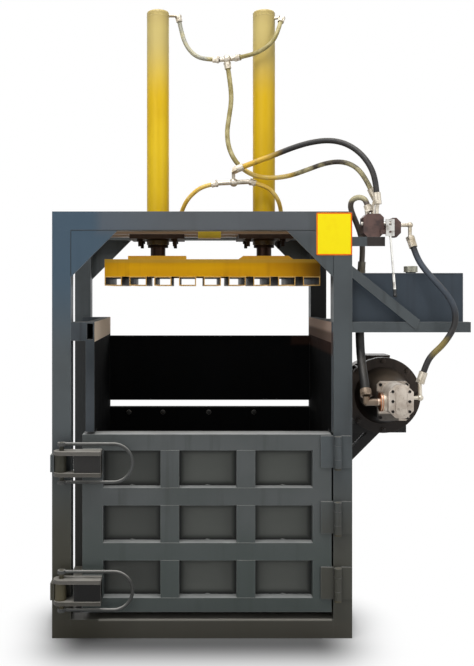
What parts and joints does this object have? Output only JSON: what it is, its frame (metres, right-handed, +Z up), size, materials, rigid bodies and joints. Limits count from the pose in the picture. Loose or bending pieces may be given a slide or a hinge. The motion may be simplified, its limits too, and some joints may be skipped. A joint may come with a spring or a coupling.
{
  "type": "recycling baler",
  "caption": "Vertical hydraulic baler: two cylinders push a slotted platen down into a chamber with a side-hinged front door; valve, oil tank and pump set on the right.",
  "frame": {"origin": "on the floor, midway between the two cylinder axes and midway between the front and rear faces of the frame", "axes": "+Z up along the press stroke, +X to the right of somebody who faces the door, +Y from the door to the back"},
  "size_m": [1.787, 0.937, 2.798],
  "materials": {
    "frame_paint": "weathered blue-grey paint",
    "chamber_paint": "weathered grey paint",
    "door_paint": "weathered greenish grey paint",
    "latch_paint": "dull brownish grey paint",
    "dark_steel": "dark oiled steel",
    "cylinder_paint": "yellow paint",
    "rod_chrome": "hard chrome under oil",
    "platen_paint": "orange-yellow paint",
    "tank_paint": "blue-grey paint",
    "cap_metal": "satin",
    "valve_iron": "reddish brown primer",
    "bright_steel": "bright",
    "motor_paint": "dark brown paint",
    "pump_aluminium": "sand cast",
    "sign_paint": "yellow, plain",
    "fitting_metal": "zinc plated, yellow passivated",
    "hose_painted": "rubber under paint overspray",
    "hose_rubber": "black rubber"
  },
  "bodies": {
    "frame": {"bell_housing": "motor_paint", "cap_side_tee": "fitting_metal", "chamber_floor": "chamber_paint", "cross_beams": "frame_paint", "cylinder_barrel_left": "cylinder_paint", "cylinder_barrel_right": "cylinder_paint", "cylinder_flanges": "dark_steel", "fan_cover": "motor_paint", "flange_bolts": "dark_steel", "floor_bearers": "frame_paint", "frame_hinge_leaves": "door_paint", "front_portal": "frame_paint", "hinge_pins": "dark_steel", "hose_cap_feed": "hose_painted", "hose_cap_left": "hose_painted", "hose_cap_right": "hose_painted", "hose_fittings": "fitting_metal", "hose_pressure": "hose_rubber", "hose_return": "hose_rubber", "hose_rod_feed": "hose_rubber", "hose_rod_left": "hose_painted", "hose_rod_right": "hose_painted", "hose_suction": "hose_rubber", "motor_body": "motor_paint", "motor_bracket": "frame_paint", "oil_tank": "tank_paint", "pump_body": "pump_aluminium", "pump_cover": "pump_aluminium", "rear_panel": "chamber_paint", "rear_portal": "frame_paint", "rear_wall": "chamber_paint", "rod_glands": "dark_steel", "rod_side_tee": "fitting_metal", "side_sills": "frame_paint", "side_wall_left": "chamber_paint", "side_wall_right": "chamber_paint", "sign_plate": "sign_paint", "tank_cradle": "frame_paint", "top_side_beams": "frame_paint", "valve_body": "valve_iron", "valve_bracket": "frame_paint"},
    "door": {"door_grid": "door_paint", "door_skin": "door_paint", "door_hinge_leaves": "door_paint", "upper_latch_bracket": "latch_paint", "lower_latch_bracket": "latch_paint"},
    "upper_latch": {"upper_latch_cam": "dark_steel", "upper_latch_handle": "latch_paint"},
    "lower_latch": {"lower_latch_cam": "dark_steel", "lower_latch_handle": "latch_paint"},
    "platen": {"piston_rods": "rod_chrome", "pistons": "dark_steel", "platen_frame": "platen_paint", "platen_tubes": "platen_paint"},
    "lever": {"valve_lever": "bright_steel"},
    "spool": {"valve_spool": "bright_steel"},
    "rotor": {"motor_rotor": "dark_steel", "drive_gear": "bright_steel"},
    "idler": {"idler_gear": "bright_steel"},
    "oil_cap": {"filler_cap": "cap_metal"}
  },
  "joints": [
    {"name": "door_hinge", "type": "hinge", "parent": "frame", "child": "door", "pos_m": [0.53, -0.418, 0.49], "axis": [0, 0, 1], "range_deg": [0, 120]},
    {"name": "upper_latch_turn", "type": "hinge", "parent": "door", "child": "upper_latch", "pos_m": [-0.6396, -0.436, 0.754], "axis": [0, 0, -1], "range_deg": [0, 170]},
    {"name": "lower_latch_turn", "type": "hinge", "parent": "door", "child": "lower_latch", "pos_m": [-0.6396, -0.436, 0.215], "axis": [0, 0, -1], "range_deg": [0, 170]},
    {"name": "platen_stroke", "type": "slide", "parent": "frame", "child": "platen", "axis": [0, 0, -1], "range_m": [0, 0.94]},
    {"name": "valve_lever_swing", "type": "hinge", "parent": "frame", "child": "lever", "pos_m": [0.752, -0.415, 1.732], "axis": [0, 1, 0], "range_deg": [-15, 15]},
    {"name": "valve_spool_slide", "type": "slide", "parent": "frame", "child": "spool", "axis": [1, 0, 0], "range_m": [-0.0095, 0.0095]},
    {"name": "motor_turn", "type": "hinge", "parent": "frame", "child": "rotor", "pos_m": [0.772, -0.17, 1.01], "axis": [0, 1, 0], "continuous": true},
    {"name": "idler_turn", "type": "hinge", "parent": "frame", "child": "idler", "pos_m": [0.772, -0.48, 1.042], "axis": [0, 1, 0], "continuous": true},
    {"name": "oil_cap_turn", "type": "hinge", "parent": "frame", "child": "oil_cap", "pos_m": [0.87, -0.292, 1.57], "axis": [0, 0, 1], "range_deg": [0, 90]}
  ],
  "couplings": [
    {"joint": "valve_spool_slide", "follows": "valve_lever_swing", "m_per_rad": 0.036},
    {"joint": "idler_turn", "follows": "motor_turn", "ratio": -1}
  ]
}
